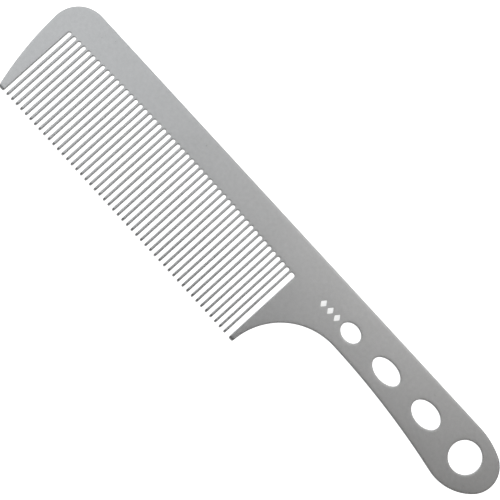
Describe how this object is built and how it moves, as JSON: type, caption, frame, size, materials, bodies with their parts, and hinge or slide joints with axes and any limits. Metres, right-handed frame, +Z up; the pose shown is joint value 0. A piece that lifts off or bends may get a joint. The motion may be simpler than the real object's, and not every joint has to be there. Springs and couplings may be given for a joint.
{
  "type": "hair comb",
  "caption": "Flat sheet-steel barber comb: a toothed blade with a guard at each end and a flat drilled handle that ends in a round hanging hole.",
  "frame": {"origin": "underside of the sheet, under the middle of the outline's length and width", "axes": "+X along the comb from the toe to the end of the handle, +Y from the tooth tips to the back edge, +Z up through the sheet"},
  "size_m": [0.224, 0.0434, 0.0015],
  "materials": {
    "steel": "fine satin-brushed stainless sheet with tumbled edges",
    "enamel": "white enamel filled flush into a shallow recess"
  },
  "bodies": {
    "root": {"spine": "steel", "teeth": "steel", "toe_guard": "steel", "heel_guard": "steel", "handle": "steel", "hanging_eye": "steel", "enamel_mark": "enamel"}
  },
  "joints": []
}
